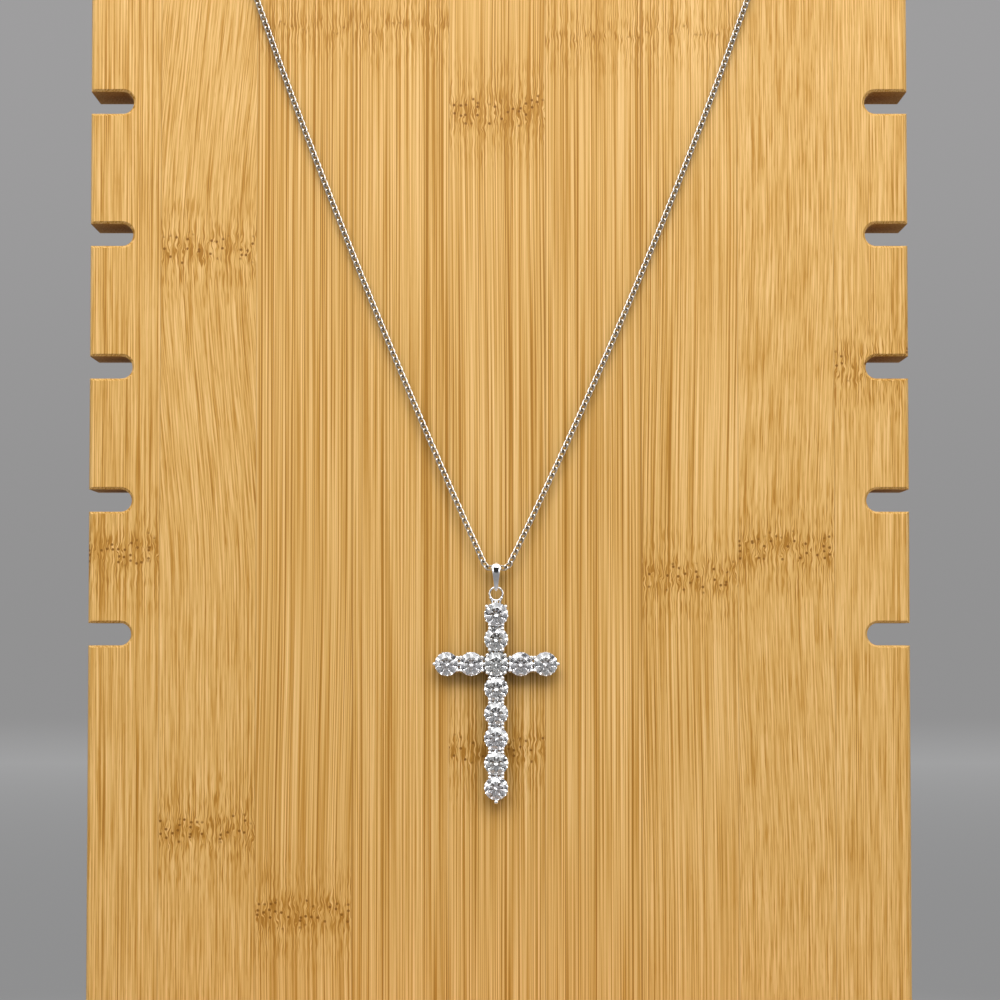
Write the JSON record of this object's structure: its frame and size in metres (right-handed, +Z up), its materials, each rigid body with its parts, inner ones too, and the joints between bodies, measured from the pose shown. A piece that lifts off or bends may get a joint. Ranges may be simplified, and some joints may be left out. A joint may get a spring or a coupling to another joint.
{
  "type": "cross pendant necklace on display board",
  "caption": "Cross pendant of round faceted stones in claw baskets, hung by a tapered bail from a fine curb chain that is looped over an upright bamboo board with notched sides.",
  "frame": {"origin": "middle of the foot's underside", "axes": "+X to the right as the picture shows the board, +Y to the back, +Z up; the front face looks along -Y"},
  "size_m": [0.172, 0.09, 0.354],
  "materials": {
    "bamboo_board": "sanded laminated bamboo with a thin satin coat",
    "bamboo_foot": "sanded laminated bamboo with a thin satin coat",
    "silver_chain": "polished silver",
    "silver_clasp": "polished silver",
    "silver_bail": "mirror-polished silver",
    "silver_setting": "polished silver",
    "clear_stone": "polished colourless faceted stone"
  },
  "bodies": {
    "board": {"display_board": "bamboo_board", "board_foot": "bamboo_foot", "chain": "silver_chain", "clasp": "silver_clasp"},
    "bail": {"bail": "silver_bail"},
    "cross": {"cross_setting": "silver_setting", "stone_centre": "clear_stone", "stone_upper_1": "clear_stone", "stone_upper_2": "clear_stone", "stone_lower_1": "clear_stone", "stone_lower_2": "clear_stone", "stone_lower_3": "clear_stone", "stone_lower_4": "clear_stone", "stone_lower_5": "clear_stone", "stone_left_1": "clear_stone", "stone_left_2": "clear_stone", "stone_right_1": "clear_stone", "stone_right_2": "clear_stone"}
  },
  "joints": [
    {"name": "bail_swing", "type": "hinge", "parent": "board", "child": "bail", "pos_m": [-0.0006, -0.01025, 0.1308], "axis": [-1, 0, 0], "range_deg": [0, 150]},
    {"name": "cross_swing", "type": "hinge", "parent": "bail", "child": "cross", "pos_m": [-0.0006, -0.01025, 0.1254], "axis": [0, 1, 0], "range_deg": [-30, 30]}
  ]
}
